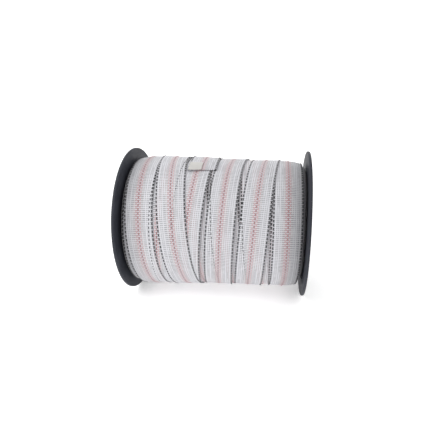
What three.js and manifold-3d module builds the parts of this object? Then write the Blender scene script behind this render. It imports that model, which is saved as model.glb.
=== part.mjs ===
// A full spool of woven electric fence tape, lying on the rims of its two
// flanges with its axis along X. Millimetres, +Z up, floor at Z = 0.
import * as THREE from 'three';
import { mergeVertices } from 'three/addons/utils/BufferGeometryUtils.js';
import Module from 'manifold-3d';

// Driving dimensions
const tapeWidth = 40;
const tapeThickness = 0.9;
const flangeDiameter = 215;
const flangeThickness = 4.2;
const rimRounding = 1.5;
const insideWidth = 253;
const coreDiameter = 84;
const coreWall = 3;
const spigotWall = 3;
const spigotLength = 25;
const seatGap = 0.3;

// The shallow recess in each flange's outer face
const hubFaceWidth = 16;
const rimFaceWidth = 9;
const recessDepth = 1.2;
const recessSlope = 2;

// The winding: how far its surface lies below the rims, and its two shoulders
const bareRimLeft = 9.4;
const bareRimRight = 14.4;
const edgeGap = 4;
const shoulderWidth = 28;
const shoulderDrop = 5;
const grooveDepth = 13;

// The loose end on top, and the adhesive tab that holds it down
const endAngle = 66;
const endWrap = 250;
const endOffset = -18.5;
const endRise = 2;
const tabWidth = 18.5;
const tabLength = 18;
const tabThickness = 0.5;
const tabInset = 1;

// Faceting
const roundSides = 72;
const roundingSteps = 3;
const shoulderSteps = 4;
const bodySteps = 4;
const stripStep = 5;

const flangeRadius = flangeDiameter / 2;
const halfStep = Math.PI / roundSides;
const axisHeight = flangeRadius * Math.cos(halfStep);
const coreRadius = coreDiameter / 2;
const spigotRadius = coreRadius - coreWall - seatGap;
const boreRadius = spigotRadius - spigotWall;
const halfInside = insideWidth / 2;

const blackPlastic = new THREE.MeshStandardMaterial({
  name: 'black_plastic', color: 0x26262a, roughness: 0.45, metalness: 0,
});
const wovenTape = new THREE.MeshStandardMaterial({
  name: 'woven_tape', color: 0xd6d6dc, roughness: 0.8, metalness: 0,
});
const creamFilm = new THREE.MeshStandardMaterial({
  name: 'cream_film', color: 0xdedbcf, roughness: 0.5, metalness: 0,
});

// Turns an outline of [along the axis, radius] points, given anticlockwise, about
// the X axis, with one flat side of the many-sided round facing straight down.
function turned(outline) {
  const points = outline.map(([along, radius]) => new THREE.Vector2(radius, along)).reverse();
  points.push(points[0].clone());
  const geometry = new THREE.LatheGeometry(points, roundSides, halfStep);
  geometry.rotateZ(-Math.PI / 2);
  return geometry;
}

// Points of an arc about a centre, both ends included, angles in degrees.
function arc([along, radius], size, from, to, steps) {
  const points = [];
  for (let i = 0; i <= steps; i += 1) {
    const angle = THREE.MathUtils.degToRad(from + (to - from) * i / steps);
    points.push([along + size * Math.cos(angle), radius + size * Math.sin(angle)]);
  }
  return points;
}

// A moulded flange: a thin disc with a rounded rim, a shallow recess in its
// outer face, and a spigot on its inner face that plugs into the core tube.
function flangeOutline() {
  const recessInner = boreRadius + hubFaceWidth;
  const recessOuter = flangeRadius - rimFaceWidth;
  const floor = flangeThickness - recessDepth;
  const roundCentre = flangeRadius - rimRounding;
  return [
    [-spigotLength, boreRadius],
    [flangeThickness, boreRadius],
    [flangeThickness, recessInner],
    [floor, recessInner + recessSlope],
    [floor, recessOuter - recessSlope],
    [flangeThickness, recessOuter],
    ...arc([flangeThickness - rimRounding, roundCentre], rimRounding, 0, 90, roundingSteps),
    ...arc([rimRounding, roundCentre], rimRounding, 90, 180, roundingSteps),
    [0, spigotRadius],
    [-spigotLength, spigotRadius],
  ];
}

// The tape is wound a little thicker at the left than at the right. Near each
// flange the top layers fall away in a rounded shoulder and leave a groove.
function windingRadius(along) {
  const reach = halfInside - edgeGap;
  const share = (along + reach) / (2 * reach);
  const bareRim = THREE.MathUtils.lerp(bareRimLeft, bareRimRight, share);
  const intoShoulder = Math.max(0, Math.abs(along) - (reach - shoulderWidth)) / shoulderWidth;
  return flangeRadius - bareRim - shoulderDrop * intoShoulder ** 2;
}

function windingOutline() {
  const reach = halfInside - edgeGap;
  const end = halfInside - seatGap;
  const inner = coreRadius + seatGap;
  const stations = [];
  for (let i = 0; i < shoulderSteps; i += 1) {
    stations.push(reach - shoulderWidth * i / shoulderSteps);
  }
  const straight = reach - shoulderWidth;
  const body = [];
  for (let i = 0; i <= bodySteps; i += 1) {
    body.push(THREE.MathUtils.lerp(straight, -straight, i / bodySteps));
  }
  const surface = [...stations, ...body, ...stations.map((s) => -s).reverse()];
  return [
    [-end, inner],
    [end, inner],
    [end, windingRadius(reach) - grooveDepth],
    ...surface.map((along) => [along, windingRadius(along)]),
    [-end, windingRadius(-reach) - grooveDepth],
  ];
}

// A band of tape laid round the winding, from its cut end back to where it
// sinks into the layers below. Angles go up from the front over the top.
function bandShape(innerRadius, outerRadiusAt, fromAngle, toAngle) {
  const shape = new THREE.Shape();
  const steps = Math.max(2, Math.ceil((toAngle - fromAngle) / stripStep));
  const place = (angle, radius) => {
    const turn = THREE.MathUtils.degToRad(angle);
    return [-radius * Math.cos(turn), radius * Math.sin(turn)];
  };
  shape.moveTo(...place(fromAngle, innerRadius));
  for (let i = 0; i <= steps; i += 1) {
    const angle = THREE.MathUtils.lerp(fromAngle, toAngle, i / steps);
    shape.lineTo(...place(angle, outerRadiusAt(angle)));
  }
  for (let i = steps; i > 0; i -= 1) {
    const angle = THREE.MathUtils.lerp(fromAngle, toAngle, i / steps);
    shape.lineTo(...place(angle, innerRadius));
  }
  return shape;
}

// Extrudes a shape drawn in the plane across the axis to a band of this width.
function band(shape, width, centre) {
  const geometry = new THREE.ExtrudeGeometry(shape, { depth: width, bevelEnabled: false });
  geometry.rotateY(Math.PI / 2);
  geometry.rotateX(Math.PI / 2);
  geometry.translate(centre - width / 2, 0, 0);
  return geometry;
}

const wasm = await Module();
wasm.setup();

function solid(geometry) {
  const bare = geometry.clone();
  bare.deleteAttribute('normal');
  bare.deleteAttribute('uv');
  const merged = mergeVertices(bare, 1e-4);
  return new wasm.Manifold(new wasm.Mesh({
    numProp: 3,
    vertProperties: new Float32Array(merged.attributes.position.array),
    triVerts: new Uint32Array(merged.index.array),
  }));
}

function joined(first, second) {
  const mesh = solid(first).add(solid(second)).getMesh();
  const geometry = new THREE.BufferGeometry();
  geometry.setAttribute('position', new THREE.BufferAttribute(mesh.vertProperties, 3));
  geometry.setIndex(new THREE.BufferAttribute(mesh.triVerts, 1));
  geometry.computeVertexNormals();
  return geometry;
}

const stripLeft = endOffset - tapeWidth / 2;
const stripBase = windingRadius(endOffset);
const stripTop = windingRadius(stripLeft) + endRise;
const stripRadius = (angle) => {
  const share = (angle - endAngle) / endWrap;
  return stripTop - (endRise + tapeThickness) * Math.max(0, share) ** 2;
};
const looseEnd = band(
  bandShape(stripBase - 2 * tapeThickness, stripRadius, endAngle, endAngle + endWrap),
  tapeWidth, endOffset,
);

const tabBase = stripTop + seatGap;
const tabSpan = THREE.MathUtils.radToDeg(tabLength / tabBase);
const endTab = band(
  bandShape(tabBase, () => tabBase + tabThickness, endAngle, endAngle + tabSpan),
  tabWidth, stripLeft + tabInset + tabWidth / 2,
);

const spool = new THREE.Group();
spool.position.z = axisHeight;

function addPiece(name, geometry, material) {
  const piece = new THREE.Mesh(geometry, material);
  piece.name = name;
  spool.add(piece);
  return piece;
}

const rightFlange = addPiece('right_flange', turned(flangeOutline()), blackPlastic);
rightFlange.position.x = halfInside;
const leftFlange = addPiece('left_flange', turned(flangeOutline()), blackPlastic);
leftFlange.position.x = -halfInside;
leftFlange.rotation.z = Math.PI;

const tubeEnd = halfInside - seatGap;
addPiece('core_tube', turned([
  [-tubeEnd, coreRadius - coreWall],
  [tubeEnd, coreRadius - coreWall],
  [tubeEnd, coreRadius],
  [-tubeEnd, coreRadius],
]), blackPlastic);
addPiece('tape_winding', joined(turned(windingOutline()), looseEnd), wovenTape);
addPiece('end_tab', endTab, creamFilm);

const model = new THREE.Group();
model.add(spool);
export default model;
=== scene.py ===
import bpy
import bmesh
import math
from functools import lru_cache
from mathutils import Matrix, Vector


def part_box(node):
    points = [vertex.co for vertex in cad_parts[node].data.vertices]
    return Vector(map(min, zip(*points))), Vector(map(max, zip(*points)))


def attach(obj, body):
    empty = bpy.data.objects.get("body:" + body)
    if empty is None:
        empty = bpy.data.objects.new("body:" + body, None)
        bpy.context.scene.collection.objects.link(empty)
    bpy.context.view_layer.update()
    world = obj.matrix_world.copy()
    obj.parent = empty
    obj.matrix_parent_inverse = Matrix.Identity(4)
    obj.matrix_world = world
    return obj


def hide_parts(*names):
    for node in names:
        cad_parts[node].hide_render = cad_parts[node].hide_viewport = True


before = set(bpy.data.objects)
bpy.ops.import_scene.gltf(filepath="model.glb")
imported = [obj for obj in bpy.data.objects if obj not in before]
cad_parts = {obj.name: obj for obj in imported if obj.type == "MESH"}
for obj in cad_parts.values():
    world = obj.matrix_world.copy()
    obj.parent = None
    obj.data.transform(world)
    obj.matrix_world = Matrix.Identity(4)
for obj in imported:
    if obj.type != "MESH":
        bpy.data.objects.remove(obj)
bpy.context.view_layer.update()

MM = 0.001

# Core tube. An extruded tube of black polypropylene that the tape is wound on; it
# lies hidden under the tape and shows only inside the bore, between the spigots.
left_low, left_high = (Vector(corner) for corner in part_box("left_flange"))
right_high = Vector(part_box("right_flange")[1])
tube_low, tube_high = (Vector(corner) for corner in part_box("core_tube"))
axis_height = (tube_low.z + tube_high.z) / 2
flange_radius = left_high.y
tube_radius = tube_high.y
TUBE_WALL = 3 * MM
TUBE_EDGE = 0.5 * MM
ROUND_STEPS = 180


def linear(hex_colour):
    """Turns an sRGB hex colour to the linear colour that a shader takes."""
    channels = [int(hex_colour[i:i + 2], 16) / 255 for i in (1, 3, 5)]
    return (*[c / 12.92 if c <= 0.04045 else ((c + 0.055) / 1.055) ** 2.4 for c in channels], 1)


def add_node(tree, kind, inputs=None, **settings):
    """Adds a node with its settings. inputs gives each socket a value or another node's socket."""
    node = tree.nodes.new(kind)
    for name, setting in settings.items():
        setattr(node, name, setting)
    for socket, value in (inputs or {}).items():
        if isinstance(value, bpy.types.NodeSocket):
            tree.links.new(value, node.inputs[socket])
        else:
            node.inputs[socket].default_value = value
    return node


def new_material(name):
    """An empty material with its output node and its node tree."""
    material = bpy.data.materials.new(name)
    material.use_nodes = True
    material.node_tree.nodes.clear()
    return material, material.node_tree


def finished_piece(name, bm, material, slot, *nodes, sharp=35):
    """Makes the piece from its bmesh, smooth but for its sharp edges, and puts it on the frame."""
    bmesh.ops.remove_doubles(bm, verts=bm.verts, dist=0.01 * MM)
    bmesh.ops.recalc_face_normals(bm, faces=bm.faces)
    mesh = bpy.data.meshes.new(name)
    bm.to_mesh(mesh)
    bm.free()
    mesh.shade_smooth()
    mesh.set_sharp_from_angle(angle=math.radians(sharp))
    mesh.materials.append(material)
    piece = bpy.data.objects.new(name, mesh)
    bpy.context.collection.objects.link(piece)
    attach(piece, "root")
    if nodes:
        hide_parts(*nodes)
    return piece


def turned_outline(corners, roundings, steps=ROUND_STEPS):
    """Spins a closed outline of (along the axis, radius) corners about the spool's axis.
    roundings gives some corners, by number, a rounding radius and its segments."""
    bm = bmesh.new()
    verts = [bm.verts.new((along, 0, axis_height + radius)) for along, radius in corners]
    for i, vert in enumerate(verts):
        bm.edges.new((vert, verts[(i + 1) % len(verts)]))
    for i, (size, segments) in roundings.items():
        bmesh.ops.bevel(
            bm, geom=[verts[i]], offset=size, offset_type='OFFSET', segments=segments,
            profile=0.5, affect='VERTICES', material=-1,
        )
    bmesh.ops.spin(
        bm, geom=[*bm.verts, *bm.edges], cent=(0, 0, axis_height), axis=(1, 0, 0),
        angle=math.tau, steps=steps, use_merge=True,
    )
    return bm


def extruded_polypropylene():
    """Matt black recycled polypropylene, with the faint lengthwise lines of its extruder die."""
    material, tree = new_material("extruded_black_polypropylene")
    place = add_node(tree, 'ShaderNodeTexCoord').outputs['Object']
    along_tube = add_node(tree, 'ShaderNodeMapping', {'Vector': place, 'Scale': (3, 900, 900)})
    lines = add_node(tree, 'ShaderNodeTexNoise', {'Vector': along_tube.outputs[0], 'Scale': 1})
    colour = add_node(tree, 'ShaderNodeMix', {
        'Factor': lines.outputs[0], 'A': linear('#1d1d1f'), 'B': linear('#2b2b2c'),
    }, data_type='RGBA')
    bump = add_node(tree, 'ShaderNodeBump', {
        'Strength': 0.4, 'Distance': 0.1 * MM, 'Height': lines.outputs[0],
    })
    shader = add_node(tree, 'ShaderNodeBsdfPrincipled', {
        'Base Color': colour.outputs['Result'], 'Roughness': 0.55, 'IOR': 1.49,
        'Normal': bump.outputs[0],
    })
    add_node(tree, 'ShaderNodeOutputMaterial', {'Surface': shader.outputs[0]})
    return material


tube = turned_outline([
    (tube_low.x, tube_radius - TUBE_WALL), (tube_high.x, tube_radius - TUBE_WALL),
    (tube_high.x, tube_radius), (tube_low.x, tube_radius),
], {i: (TUBE_EDGE, 2) for i in range(4)})
finished_piece("core_tube_moulding", tube, extruded_polypropylene(), "core_plastic", "core_tube")

# Flanges. Two equal discs of black polypropylene, injection moulded with a rounded rim and
# a spigot that plugs into the core tube. The outer face has a shallow recess round its hub.
FLANGE_THICKNESS = 4.2 * MM
RIM_ROUNDING = 1.5 * MM
SMALL_ROUNDING = 0.5 * MM
SPIGOT_WALL = 3 * MM
SPIGOT_GAP = 0.3 * MM
HUB_FACE = 16 * MM
RIM_FACE = 9 * MM
RECESS_DEPTH = 1.2 * MM
RECESS_SLOPE = 2 * MM

spigot_radius = tube_radius - TUBE_WALL - SPIGOT_GAP
bore_radius = spigot_radius - SPIGOT_WALL
spigot_length = (left_high.x - left_low.x) - FLANGE_THICKNESS


def moulded_polypropylene():
    """Satin black polypropylene: a fine moulded grain, faint flow rings and a few rubbed scuffs
    that catch the light a little more than the rest."""
    material, tree = new_material("moulded_black_polypropylene")
    place = add_node(tree, 'ShaderNodeTexCoord').outputs['Object']
    centred = add_node(tree, 'ShaderNodeMapping', {
        'Vector': place, 'Location': (0, 0, -axis_height),
    })
    grain = add_node(tree, 'ShaderNodeTexNoise', {
        'Vector': centred.outputs[0], 'Scale': 1400, 'Detail': 2,
    })
    parts = add_node(tree, 'ShaderNodeSeparateXYZ', {'Vector': centred.outputs[0]})
    flat = add_node(tree, 'ShaderNodeCombineXYZ', {'Y': parts.outputs['Y'], 'Z': parts.outputs['Z']})
    radius = add_node(tree, 'ShaderNodeVectorMath', {0: flat.outputs[0]}, operation='LENGTH')
    ring_place = add_node(tree, 'ShaderNodeCombineXYZ', {'X': radius.outputs['Value']})
    rings = add_node(tree, 'ShaderNodeTexNoise', {
        'Vector': ring_place.outputs[0], 'Scale': 260, 'Detail': 2,
    })
    scuffs = add_node(tree, 'ShaderNodeTexNoise', {
        'Vector': centred.outputs[0], 'Scale': 34, 'Detail': 6, 'Roughness': 0.7,
    })
    rubbed = add_node(tree, 'ShaderNodeMapRange', {
        'Value': scuffs.outputs[0], 'From Min': 0.52, 'From Max': 0.72,
    })
    tone = add_node(tree, 'ShaderNodeMix', {
        'Factor': rings.outputs[0], 'A': linear('#2f3138'), 'B': linear('#36383f'),
    }, data_type='RGBA')
    colour = add_node(tree, 'ShaderNodeMix', {
        'Factor': rubbed.outputs[0], 'A': tone.outputs['Result'], 'B': linear('#3d3f46'),
    }, data_type='RGBA')
    roughness = add_node(tree, 'ShaderNodeMapRange', {
        'Value': scuffs.outputs[0], 'To Min': 0.42, 'To Max': 0.62,
    })
    relief = add_node(tree, 'ShaderNodeMath', {
        0: grain.outputs[0], 1: rings.outputs[0],
    }, operation='ADD')
    bump = add_node(tree, 'ShaderNodeBump', {
        'Strength': 0.25, 'Distance': 0.05 * MM, 'Height': relief.outputs[0],
    })
    shader = add_node(tree, 'ShaderNodeBsdfPrincipled', {
        'Base Color': colour.outputs['Result'], 'Roughness': roughness.outputs[0], 'IOR': 1.49,
        'Specular IOR Level': 0.14, 'Normal': bump.outputs[0],
    })
    add_node(tree, 'ShaderNodeOutputMaterial', {'Surface': shader.outputs[0]})
    return material


def flange(inner_face, outward):
    """A flange from its inner face outwards, +1 to the right or -1 to the left."""
    recess_inner = bore_radius + HUB_FACE
    recess_outer = flange_radius - RIM_FACE
    outline = [
        (-spigot_length, bore_radius), (FLANGE_THICKNESS, bore_radius),
        (FLANGE_THICKNESS, recess_inner),
        (FLANGE_THICKNESS - RECESS_DEPTH, recess_inner + RECESS_SLOPE),
        (FLANGE_THICKNESS - RECESS_DEPTH, recess_outer - RECESS_SLOPE),
        (FLANGE_THICKNESS, recess_outer),
        (FLANGE_THICKNESS, flange_radius), (0, flange_radius),
        (0, spigot_radius), (-spigot_length, spigot_radius),
    ]
    roundings = {i: (SMALL_ROUNDING, 3) for i in (0, 1, 2, 3, 4, 5, 8, 9)}
    roundings |= {6: (RIM_ROUNDING, 6), 7: (RIM_ROUNDING, 6)}
    placed = [(inner_face + outward * along, radius) for along, radius in outline]
    return turned_outline(placed, roundings)


black_moulding = moulded_polypropylene()
left_face = left_low.x + FLANGE_THICKNESS
right_face = right_high.x - FLANGE_THICKNESS
finished_piece("left_flange_moulding", flange(left_face, -1), black_moulding,
               "flange_plastic", "left_flange")
finished_piece("right_flange_moulding", flange(right_face, 1), black_moulding,
               "flange_plastic", "right_flange")

# Wound tape, the body of the roll. Layer upon layer of the same woven tape, a little thicker
# at the left, with rounded shoulders that fall away before the flanges and leave a groove.
TAPE_WIDTH = 40 * MM
TAPE_THICKNESS = 0.6 * MM
LAYER = 1.2 * MM
BARE_RIM_LEFT = 11.8 * MM
BARE_RIM_RIGHT = 15.6 * MM
EDGE_GAP = 4 * MM
SHOULDER_WIDTH = 28 * MM
SHOULDER_DROP = 5 * MM
GROOVE_DEPTH = 13 * MM
WARP_ENDS = 15
PICK = 2.68 * MM
PICK_WHITE = '#e0e0e5'
WIRE_GREY = '#77767c'
WIRE_SHARE = 0.3
WIRE_UNDER_PICK = 0.5
WIRED_ENDS = [
    (0, '#000000'), (2, '#ffffff'), (3, '#000000'), (4, '#ffffff'), (6, '#000000'),
    (9, '#ffffff'), (11, '#000000'), (12, '#ffffff'), (13, '#000000'),
]
CRIMP = 0.15
WARP_LIFT = 0.15
WARP_ROUND = 5.0
PICK_ROUND = 4.0
HOLE_DEEP = -0.5
HOLE_EDGE = -0.2
# Where the painted shade near the flanges begins, and where it is darkest.
FLANGE_SHADE_FROM = 85 * MM
FLANGE_SHADE_DARKEST_AT = 116 * MM

reach = (right_face - left_face) / 2 - EDGE_GAP


def roll_radius(along):
    """The roll's radius under its last two layers, at a place along its axis."""
    share = (along + reach) / (2 * reach)
    bare = BARE_RIM_LEFT + (BARE_RIM_RIGHT - BARE_RIM_LEFT) * share
    into_shoulder = max(0.0, abs(along) - (reach - SHOULDER_WIDTH)) / SHOULDER_WIDTH
    return flange_radius - bare - SHOULDER_DROP * into_shoulder ** 2


def woven_polyethylene(name, warp_colours, below_painted_shade_ends):
    """An open plain weave of white polyethylene yarns, with fine steel wires along some of them.
    One UV map counts warp ends across the tape and picks along it; a second one does so on the
    layer below, whose colours, darkened as painted shade, show in the small holes between the yarns.
    The tape is painted darker near the flanges, a painted shade for the light the flanges block."""
    material, tree = new_material(name)

    def maths(operation, *values):
        inputs = dict(enumerate(values))
        return add_node(tree, 'ShaderNodeMath', inputs, operation=operation).outputs[0]

    place = add_node(tree, 'ShaderNodeUVMap', uv_map="threads")
    threads = add_node(tree, 'ShaderNodeSeparateXYZ', {'Vector': place.outputs[0]})
    across, along = threads.outputs['X'], threads.outputs['Y']
    warp_number, pick_number = maths('FLOOR', across), maths('FLOOR', along)
    beside_warp = maths('SUBTRACT', maths('SUBTRACT', across, warp_number), 0.5)
    beside_pick = maths('SUBTRACT', maths('SUBTRACT', along, pick_number), 0.5)
    warp_phase = maths('MULTIPLY', maths('ADD', maths('SUBTRACT', along, 0.5), warp_number), math.pi)
    pick_phase = maths('MULTIPLY', maths('ADD', maths('SUBTRACT', across, 0.5), pick_number), math.pi)
    warp_round = maths('MULTIPLY', maths('MULTIPLY', beside_warp, beside_warp), -WARP_ROUND)
    pick_round = maths('MULTIPLY', maths('MULTIPLY', beside_pick, beside_pick), -PICK_ROUND)
    warp_wave = maths('MULTIPLY', maths('COSINE', warp_phase), CRIMP)
    pick_wave = maths('MULTIPLY', maths('COSINE', pick_phase), -CRIMP)
    warp_height = maths('ADD', maths('ADD', warp_wave, WARP_LIFT), warp_round)
    pick_height = maths('ADD', pick_wave, pick_round)
    height = maths('MAXIMUM', warp_height, pick_height)
    warp_shows = maths('GREATER_THAN', warp_height, pick_height)

    def stripes(count, colours):
        ramp = add_node(tree, 'ShaderNodeValToRGB', {
            'Fac': maths('DIVIDE', count, WARP_ENDS),
        })
        ramp.color_ramp.interpolation = 'CONSTANT'
        stops = ramp.color_ramp.elements
        for i, (first_end, colour) in enumerate(colours):
            stop = stops[i] if i < 2 else stops.new(1)
            stop.position = first_end / WARP_ENDS
            stop.color = linear(colour)
        return ramp.outputs['Color']

    wire_place = maths('LESS_THAN', maths('ABSOLUTE', beside_warp), WIRE_SHARE / 2)
    wired = stripes(maths('ADD', warp_number, 0.5), WIRED_ENDS)
    streaks = add_node(tree, 'ShaderNodeMapping', {'Vector': place.outputs[0], 'Scale': (1, 0.12, 1)})
    laid_deeper = add_node(tree, 'ShaderNodeTexNoise', {'Vector': streaks.outputs[0], 'Scale': 0.8})
    wire_shows = add_node(tree, 'ShaderNodeMapRange', {
        'Value': laid_deeper.outputs[0], 'From Min': 0.42, 'From Max': 0.58,
    })
    between_picks = maths('GREATER_THAN', maths('ABSOLUTE', beside_pick), WIRE_UNDER_PICK / 2)
    wire_dash = maths('MULTIPLY', maths('MULTIPLY', wire_place, wired), between_picks)
    yarns = add_node(tree, 'ShaderNodeMix', {
        'Factor': warp_shows, 'A': linear(PICK_WHITE),
        'B': stripes(maths('ADD', warp_number, 0.5), warp_colours),
    }, data_type='RGBA')
    thread = add_node(tree, 'ShaderNodeMix', {
        'Factor': maths('MULTIPLY', wire_dash, wire_shows.outputs[0]),
        'A': yarns.outputs['Result'], 'B': linear(WIRE_GREY),
    }, data_type='RGBA')
    below = add_node(tree, 'ShaderNodeUVMap', uv_map="below")
    below_across = add_node(tree, 'ShaderNodeSeparateXYZ', {'Vector': below.outputs[0]}).outputs['X']
    # The holes between the yarns take the colours of the layer below, darkened as painted shade.
    hole = add_node(tree, 'ShaderNodeMapRange', {
        'Value': height, 'From Min': HOLE_DEEP, 'From Max': HOLE_EDGE, 'To Min': 1.0, 'To Max': 0.0,
    })
    woven = add_node(tree, 'ShaderNodeMix', {
        'Factor': hole.outputs[0], 'A': thread.outputs['Result'],
        'B': stripes(below_across, below_painted_shade_ends),
    }, data_type='RGBA')
    soiling = add_node(tree, 'ShaderNodeTexNoise', {
        'Vector': place.outputs[0], 'Scale': 0.35, 'Detail': 3,
    })
    tone = add_node(tree, 'ShaderNodeMapRange', {
        'Value': soiling.outputs[0], 'To Min': 0.66, 'To Max': 0.82,
    })
    shade = add_node(tree, 'ShaderNodeMapRange', {
        'Value': height, 'From Min': -0.6, 'From Max': 0.1, 'To Min': 0.88, 'To Max': 1.06,
    })
    roll_place = add_node(tree, 'ShaderNodeTexCoord').outputs['Object']
    along_roll = add_node(tree, 'ShaderNodeSeparateXYZ', {'Vector': roll_place}).outputs['X']
    # Painted shade: the tape's colour is darkened towards the flanges, where they block the light.
    flange_painted_shade = add_node(tree, 'ShaderNodeMapRange', {
        'Value': maths('ABSOLUTE', along_roll), 'From Min': FLANGE_SHADE_FROM, 'From Max': FLANGE_SHADE_DARKEST_AT,
        'To Min': 1.0, 'To Max': 0.66,
    })
    soiling_and_flange_shade = maths('MULTIPLY', tone.outputs[0], flange_painted_shade.outputs[0])
    colour = add_node(tree, 'ShaderNodeVectorMath', {
        0: woven.outputs['Result'], 'Scale': maths('MULTIPLY', soiling_and_flange_shade, shade.outputs[0]),
    }, operation='SCALE')
    bump = add_node(tree, 'ShaderNodeBump', {
        'Strength': 0.4, 'Distance': 0.3 * MM, 'Height': height,
    })
    shader = add_node(tree, 'ShaderNodeBsdfPrincipled', {
        'Base Color': colour.outputs[0], 'Roughness': 0.6, 'IOR': 1.5,
        'Sheen Weight': 0.15, 'Sheen Roughness': 0.5, 'Normal': bump.outputs[0],
    })
    add_node(tree, 'ShaderNodeOutputMaterial', {'Surface': shader.outputs[0]})
    return material


def count_threads(bm, name, place_of):
    """Gives every face corner its place in a weave, as warp ends across and picks along."""
    layer = bm.loops.layers.uv.new(name)
    for face in bm.faces:
        middle = face.calc_center_median()
        for loop in face.loops:
            across, along = place_of(loop.vert.co, middle)
            loop[layer].uv = (across / TAPE_WIDTH * WARP_ENDS, along / PICK)


def place_on_roll(corner, middle):
    """How far along and round the roll a corner lies, on the same side of the seam as its face."""
    angle = math.atan2(axis_height - corner.z, -corner.y)
    turn = math.atan2(axis_height - middle.z, -middle.y)
    angle += math.tau * round((turn - angle) / math.tau)
    return corner.x, angle * flange_radius


END_RIDGE = 0.3 * MM
END_RIDGES = 10
END_ROUNDING = 2.5 * MM
SURFACE_STEPS = 24
TUBE_GAP = 0.3 * MM


def roll_end(side):
    """The ridged end of the roll from its groove up, where the edges of its layers lie: +1 to the
    right or -1 to the left."""
    groove_floor = roll_radius(side * reach) - GROOVE_DEPTH
    points = [(side * tube_high.x, groove_floor)]
    for i in range(1, END_RIDGES):
        share = i / END_RIDGES
        along = tube_high.x + (reach - tube_high.x) * share
        ridge = END_RIDGE * (-1) ** i
        points.append((side * along + ridge, groove_floor + (GROOVE_DEPTH - LAYER) * share))
    return points


roll_bore = tube_radius + TUBE_GAP
outline = [(-tube_high.x, roll_bore), (tube_high.x, roll_bore), *roll_end(1)]
for i in range(SURFACE_STEPS + 1):
    along = (reach - END_ROUNDING) * (1 - 2 * i / SURFACE_STEPS)
    outline.append((along, roll_radius(along) - LAYER))
outline += reversed(roll_end(-1))
body = turned_outline(outline, {})
count_threads(body, "threads", place_on_roll)
count_threads(body, "below", place_on_roll)
# The inner layers are coloured grey, a painted shade for where they lie deep in the gaps between the
# outer turns.
INNER_PAINTED_SHADE_ENDS = [(0, '#b4b4ba'), (WARP_ENDS, '#b4b4ba')]
finished_piece(
    "tape_inner_layers", body,
    woven_polyethylene("woven_polyethylene_inner_painted_shade", INNER_PAINTED_SHADE_ENDS, INNER_PAINTED_SHADE_ENDS),
    "woven_tape", "tape_winding", sharp=60,
)

# Outer turns of the tape. One length of woven tape in three layers: it goes to the right, turns
# back at the right flange, turns again at the left one, and ends on top with a cut end.
# Each turn's middle is named where it leaves the top of the roll and where it goes under it.
LAID = [
    (-102.3, -100.0), (-71.5, -56.2), (-30.1, -14.8), (11.2, 26.4), (52.7, 67.9), (96.8, 98.0),
    (100.0, 99.5), (66.6, 49.3), (20.0, 6.3), (-23.1, -39.2), (-64.5, -77.4), (-99.4, -101.0),
    (-101.5, -90.5), (-63.5, -41.5),
]
TOP_ANGLE = -86
UNDER_ANGLE = 47
FIRST_BACK_TURN = 6
FIRST_LAST_TURN = 12
CLIMB_BEFORE = 250
CLIMB_TURN = 120
END_TOP = -18.5
END_ANGLE = -66
SHINGLE = 1.2 * MM
END_LIFT = 0.9 * MM
END_LIFT_TURN = 40
CUT_SLANT = 1.2
CUT_SLANT_TURN = 15
OFF_CENTRE = 0.6 * MM
OFF_CENTRE_LEFT = 2.2 * MM
TURN_STEP = 3
ACROSS_STEPS = 12

stations = []
for number, (at_top, at_bottom) in enumerate(LAID):
    stations.append((360 * number + TOP_ANGLE, at_top * MM))
    stations.append((360 * number + UNDER_ANGLE, at_bottom * MM))
last_turn = 360 * len(LAID)
stations.append((last_turn - 90, END_TOP * MM))
stations.append((last_turn + END_ANGLE, END_TOP * MM))
tape_start = stations[0][0]
tape_end = stations[-1][0]


@lru_cache(maxsize=None)
def lay(turned):
    """The tape's middle along the axis after this many degrees, and its lean: metres a degree."""
    turned = min(max(turned, tape_start), tape_end)
    i = max(k for k in range(len(stations) - 1) if stations[k][0] <= turned)
    (start, here), (stop, there) = stations[i], stations[i + 1]

    def slope(k):
        before, after = stations[max(k - 1, 0)], stations[min(k + 1, len(stations) - 1)]
        return (after[1] - before[1]) / (after[0] - before[0])

    span = stop - start
    t = (turned - start) / span
    a, b = slope(i) * span, slope(i + 1) * span
    squared = 3 * (there - here) - 2 * a - b
    cubed = a + b - 2 * (there - here)
    place = here + a * t + squared * t ** 2 + cubed * t ** 3
    lean = (a + 2 * squared * t + 3 * cubed * t ** 2) / span
    return place, lean


def off_centre(along):
    """The roll is wound slightly off centre: it is lower at the top and fuller underneath,
    and most so at its left end."""
    return OFF_CENTRE + OFF_CENTRE_LEFT * (max(0.0, -along) / reach) ** 2


def eased(value):
    """Eases a share from 0 to 1."""
    value = min(max(value, 0.0), 1.0)
    return value * value * (3 - 2 * value)


@lru_cache(maxsize=None)
def layer_at(turned):
    """Which layer the tape has climbed to, and which way its turns overlap."""
    back = eased((turned - 360 * FIRST_BACK_TURN + CLIMB_BEFORE) / CLIMB_TURN)
    again = eased((turned - 360 * FIRST_LAST_TURN + CLIMB_BEFORE) / CLIMB_TURN)
    return back + again, -1 + 2 * back - 2 * again


def wound(turned, across, lift):
    """The place on the roll of a point of the tape, from its middle and its upper side."""
    middle, lean = lay(turned)
    along = middle + across
    radius = roll_radius(along)
    angle = math.radians(turned) - across * math.degrees(lean) / radius ** 2
    climbed, overlap = layer_at(turned)
    radius += LAYER * climbed + SHINGLE * overlap * across / TAPE_WIDTH + lift
    radius += END_LIFT * eased((turned - tape_end) / END_LIFT_TURN + 1)
    radius -= off_centre(along) * math.sin(-math.radians(turned))
    return Vector((along, -radius * math.cos(angle), axis_height - radius * math.sin(angle)))


def turned_at(flat):
    """The turn, in degrees, at a place along the flat grid, which runs from -1 to 1."""
    return tape_start + (flat + 1) / 2 * (tape_end - tape_start)


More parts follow.
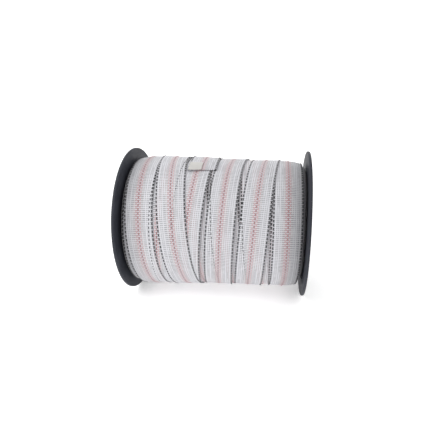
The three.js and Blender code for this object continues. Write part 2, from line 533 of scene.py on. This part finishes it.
def length_laid(turned):
    """The length of tape laid in this many degrees, at the roll's middle radius."""
    return math.radians(turned) * roll_radius(0)


@lru_cache(maxsize=None)
def tape_below(turned, along):
    """The middle of the turn that lies one layer down, nearest to this place along the axis."""
    climbed = layer_at(turned)[0]
    earlier = [turned - 360 * back for back in range(1, len(LAID))]
    below = [lay(t)[0] for t in earlier if t > tape_start and 0.5 < climbed - layer_at(t)[0] < 1.5]
    return min(below, key=lambda middle: abs(middle - along), default=along)


def slanted(turned, across):
    """The turn, in degrees, of a point of the tape near its end, which is cut a little askew."""
    share = across / (TAPE_WIDTH / 2)
    return turned - CUT_SLANT * share * eased((turned - tape_end) / CUT_SLANT_TURN + 1)


def tape_strip():
    """The woven tape: a flat grid the tape's length and width, wound round the roll."""
    bm = bmesh.new()
    steps = round((tape_end - tape_start) / TURN_STEP)
    bmesh.ops.create_grid(bm, x_segments=steps, y_segments=ACROSS_STEPS, size=1)

    def own_place(flat, _):
        return (flat.y + 1) / 2 * TAPE_WIDTH, length_laid(turned_at(flat.x))

    def place_below(flat, face_middle):
        here = lay(turned_at(flat.x))[0]
        beside = round(here + face_middle.y * TAPE_WIDTH / 2, 4)
        middle = tape_below(turned_at(flat.x), beside)
        return here + flat.y * TAPE_WIDTH / 2 - middle + TAPE_WIDTH / 2, 0

    count_threads(bm, "threads", own_place)
    count_threads(bm, "below", place_below)
    for vert in bm.verts:
        across = vert.co.y * TAPE_WIDTH / 2
        vert.co = wound(slanted(turned_at(vert.co.x), across), across, 0)
    return bm


TAPE_ENDS = [
    (0, '#8f8e93'), (1, '#e0e0e5'), (5, '#dfd9db'), (6, '#d4b3b6'), (7, '#c69a9d'), (8, '#d4b3b6'),
    (9, '#dfd9db'), (10, '#e0e0e5'), (14, '#8f8e93'),
]
# The layer below as it shows through the holes: its black edge yarns, red middle yarn and white
# yarns, all darkened as painted shade.
BELOW_PAINTED_SHADE_ENDS = [
    (0, '#242326'), (1, '#9a9aa0'), (6, '#a08084'), (9, '#9a9aa0'), (14, '#242326'),
]
tape = finished_piece(
    "tape_outer_turns", tape_strip(),
    woven_polyethylene("woven_white_polyethylene", TAPE_ENDS, BELOW_PAINTED_SHADE_ENDS), "woven_tape",
)
thickness = tape.modifiers.new("thickness", 'SOLIDIFY')
thickness.thickness = TAPE_THICKNESS
thickness.offset = -1

# Black edge yarns and the red middle yarn of the tape. Each is a twisted yarn woven over one
# pick and under the next, so it shows as a row of short dashes.
YARN_RADIUS = 0.78 * MM
YARN_DIP = 0.45 * MM
YARN_DEPTH = 0.36 * MM
YARN_SIDES = 4
STEPS_PER_PICK = 3


def woven_in_yarn(warp_end):
    """A yarn along the whole tape, in the place of this warp end."""
    bm = bmesh.new()
    picks = (length_laid(tape_end) - length_laid(tape_start)) / PICK
    steps = round(picks * STEPS_PER_PICK)
    bmesh.ops.create_grid(bm, x_segments=steps, y_segments=YARN_SIDES, size=1)
    place = ((warp_end + 0.5) / WARP_ENDS - 0.5) * TAPE_WIDTH
    for vert in bm.verts:
        turned = turned_at(vert.co.x)
        side = (vert.co.y + 1) * math.pi
        wave = math.cos(math.pi * (length_laid(turned) / PICK - 0.5 + warp_end))
        across = place + YARN_RADIUS * math.cos(side)
        lift = YARN_DIP * wave - YARN_DEPTH + YARN_RADIUS * math.sin(side)
        vert.co = wound(slanted(turned, place), across, lift)
    bmesh.ops.remove_doubles(bm, verts=bm.verts, dist=0.01 * MM)
    bmesh.ops.holes_fill(bm, edges=[edge for edge in bm.edges if edge.is_boundary])
    return bm


def twisted_yarn(name, dark, light):
    """A dyed polyethylene yarn, with its twist drawn as a fine noise mottle and bump."""
    material, tree = new_material(name)
    place = add_node(tree, 'ShaderNodeTexCoord').outputs['Object']
    twist = add_node(tree, 'ShaderNodeTexNoise', {'Vector': place, 'Scale': 900, 'Detail': 2})
    colour = add_node(tree, 'ShaderNodeMix', {
        'Factor': twist.outputs[0], 'A': linear(dark), 'B': linear(light),
    }, data_type='RGBA')
    bump = add_node(tree, 'ShaderNodeBump', {
        'Strength': 0.5, 'Distance': 0.1 * MM, 'Height': twist.outputs[0],
    })
    shader = add_node(tree, 'ShaderNodeBsdfPrincipled', {
        'Base Color': colour.outputs['Result'], 'Roughness': 0.5, 'IOR': 1.5,
        'Normal': bump.outputs[0],
    })
    add_node(tree, 'ShaderNodeOutputMaterial', {'Surface': shader.outputs[0]})
    return material


black_yarn = twisted_yarn("black_polyethylene_yarn", '#0c0c0e', '#2a2a2e')
red_yarn = twisted_yarn("red_polyethylene_yarn", '#94696c', '#b48d90')
for name, warp_end, dyed_yarn in (
    ("tape_left_edge_yarn", 0, black_yarn), ("tape_right_edge_yarn", WARP_ENDS - 1, black_yarn),
    ("tape_middle_yarn", WARP_ENDS // 2, red_yarn),
):
    finished_piece(name, woven_in_yarn(warp_end), dyed_yarn, "woven_tape", sharp=80)

# End tab. A short piece of cream adhesive film that holds the cut end of the tape down.
TAB_WIDTH = 18.5 * MM
TAB_LENGTH = 18 * MM
TAB_INSET = 1 * MM
TAB_THICKNESS = 0.4 * MM
TAB_LIFT = 0.7 * MM
TAB_EDGE_TURN = 0.2


def adhesive_film():
    """Cream adhesive film, smooth and a little glossy, with the weave below pressed into it."""
    material, tree = new_material("cream_adhesive_film")
    place = add_node(tree, 'ShaderNodeTexCoord').outputs['Object']
    pressed = add_node(tree, 'ShaderNodeTexNoise', {'Vector': place, 'Scale': 260, 'Detail': 2})
    clouds = add_node(tree, 'ShaderNodeTexNoise', {'Vector': place, 'Scale': 70, 'Detail': 3})
    colour = add_node(tree, 'ShaderNodeMix', {
        'Factor': clouds.outputs[0], 'A': linear('#b4b2ae'), 'B': linear('#c5c3c0'),
    }, data_type='RGBA')
    bump = add_node(tree, 'ShaderNodeBump', {
        'Strength': 0.3, 'Distance': 0.2 * MM, 'Height': pressed.outputs[0],
    })
    shader = add_node(tree, 'ShaderNodeBsdfPrincipled', {
        'Base Color': colour.outputs['Result'], 'Roughness': 0.35, 'IOR': 1.46,
        'Normal': bump.outputs[0],
    })
    add_node(tree, 'ShaderNodeOutputMaterial', {'Surface': shader.outputs[0]})
    return material


def tab_sheet():
    """The film, cut square and laid over the tape's end."""
    bm = bmesh.new()
    bmesh.ops.create_grid(bm, x_segments=16, y_segments=12, size=1)
    degrees_long = math.degrees(TAB_LENGTH / roll_radius(0))
    for vert in bm.verts:
        turned = tape_end - TAB_EDGE_TURN - (vert.co.x + 1) / 2 * degrees_long
        across = -TAPE_WIDTH / 2 + TAB_INSET + TAB_WIDTH * (vert.co.y + 1) / 2
        vert.co = wound(slanted(turned, across), across, TAB_LIFT)
    return bm


tab = finished_piece("end_tab_film", tab_sheet(), adhesive_film(), "cream_film", "end_tab")
film = tab.modifiers.new("film", 'SOLIDIFY')
film.thickness = TAB_THICKNESS
film.offset = -1

# Studio. A white sweep lit softly from behind, a soft key light from the upper left, a larger
# and softer light high above, and a pale room.
SWEEP_HALF = 4.0
SWEEP_BACK = 2.2
SWEEP_HEIGHT = 3.0
SWEEP_ROUND = 1.0


def studio_white():
    """White opal acrylic, matt and softly lit from behind, as on a light table."""
    material, tree = new_material("studio_white")
    shader = add_node(tree, 'ShaderNodeBsdfPrincipled', {
        'Base Color': linear('#fefefe'), 'Roughness': 0.9,
        'Emission Color': linear('#ffffff'), 'Emission Strength': 0.4,
    })
    add_node(tree, 'ShaderNodeOutputMaterial', {'Surface': shader.outputs[0]})
    return material


sweep = bmesh.new()
corners = [sweep.verts.new(place) for place in (
    (-SWEEP_HALF, -SWEEP_HALF, 0), (-SWEEP_HALF, SWEEP_BACK, 0),
    (-SWEEP_HALF, SWEEP_BACK, SWEEP_HEIGHT),
)]
for first, second in zip(corners, corners[1:]):
    sweep.edges.new((first, second))
bmesh.ops.bevel(sweep, geom=[corners[1]], offset=SWEEP_ROUND, offset_type='OFFSET', segments=16,
                profile=0.5, affect='VERTICES', material=-1)
swept = bmesh.ops.extrude_edge_only(sweep, edges=sweep.edges[:])
bmesh.ops.translate(sweep, vec=(2 * SWEEP_HALF, 0, 0),
                    verts=[part for part in swept['geom'] if isinstance(part, bmesh.types.BMVert)])
bmesh.ops.recalc_face_normals(sweep, faces=sweep.faces)
card = bpy.data.meshes.new("studio_sweep")
sweep.to_mesh(card)
sweep.free()
card.shade_smooth()
card.materials.append(studio_white())
backdrop = bpy.data.objects.new("studio_sweep", card)
bpy.context.collection.objects.link(backdrop)

centre = Vector((0, 0, axis_height))


def soft_light(name, place, size, watts):
    """A square soft light that faces the spool."""
    light = bpy.data.lights.new(name, 'AREA')
    light.size = size
    light.energy = watts
    lamp = bpy.data.objects.new(name, light)
    lamp.location = place
    lamp.rotation_euler = (centre - Vector(place)).to_track_quat('-Z', 'Y').to_euler()
    bpy.context.collection.objects.link(lamp)


soft_light("key", (-0.42, -0.4, 0.55), 0.4, 1.9)
soft_light("top", (-0.3, 0.0, 1.3), 0.8, 2.0)

world = bpy.data.worlds.new("pale_room")
world.use_nodes = True
world.node_tree.nodes["Background"].inputs["Color"].default_value = linear('#ffffff')
world.node_tree.nodes["Background"].inputs["Strength"].default_value = 0.76
bpy.context.scene.world = world
bpy.context.scene.view_settings.view_transform = 'Standard'

# Camera, as in the photograph: right of the spool's middle and above it, looking down. Its
# middle of view and focal length are in pixels of a frame that is 430 pixels wide.
CAMERA_PLACE = (0.0811, -0.5918, 0.2246)
CAMERA_TURN = 6.234
CAMERA_DOWN = 22.495
FOCAL_PIXELS = 414.0
FRAME_PIXELS = 430
PRINCIPAL_X = 230.2
PRINCIPAL_Y = 234.2

camera_data = bpy.data.cameras.new("camera")
camera_data.sensor_width = 36
camera_data.lens = camera_data.sensor_width * FOCAL_PIXELS / FRAME_PIXELS
camera_data.shift_x = -(PRINCIPAL_X / FRAME_PIXELS - 0.5)
camera_data.shift_y = PRINCIPAL_Y / FRAME_PIXELS - 0.5
camera_data.clip_start = 0.01
camera = bpy.data.objects.new("camera", camera_data)
camera.location = Vector(CAMERA_PLACE) + centre
camera.rotation_euler = (math.radians(90 - CAMERA_DOWN), 0, math.radians(CAMERA_TURN))
bpy.context.collection.objects.link(camera)
bpy.context.scene.camera = camera
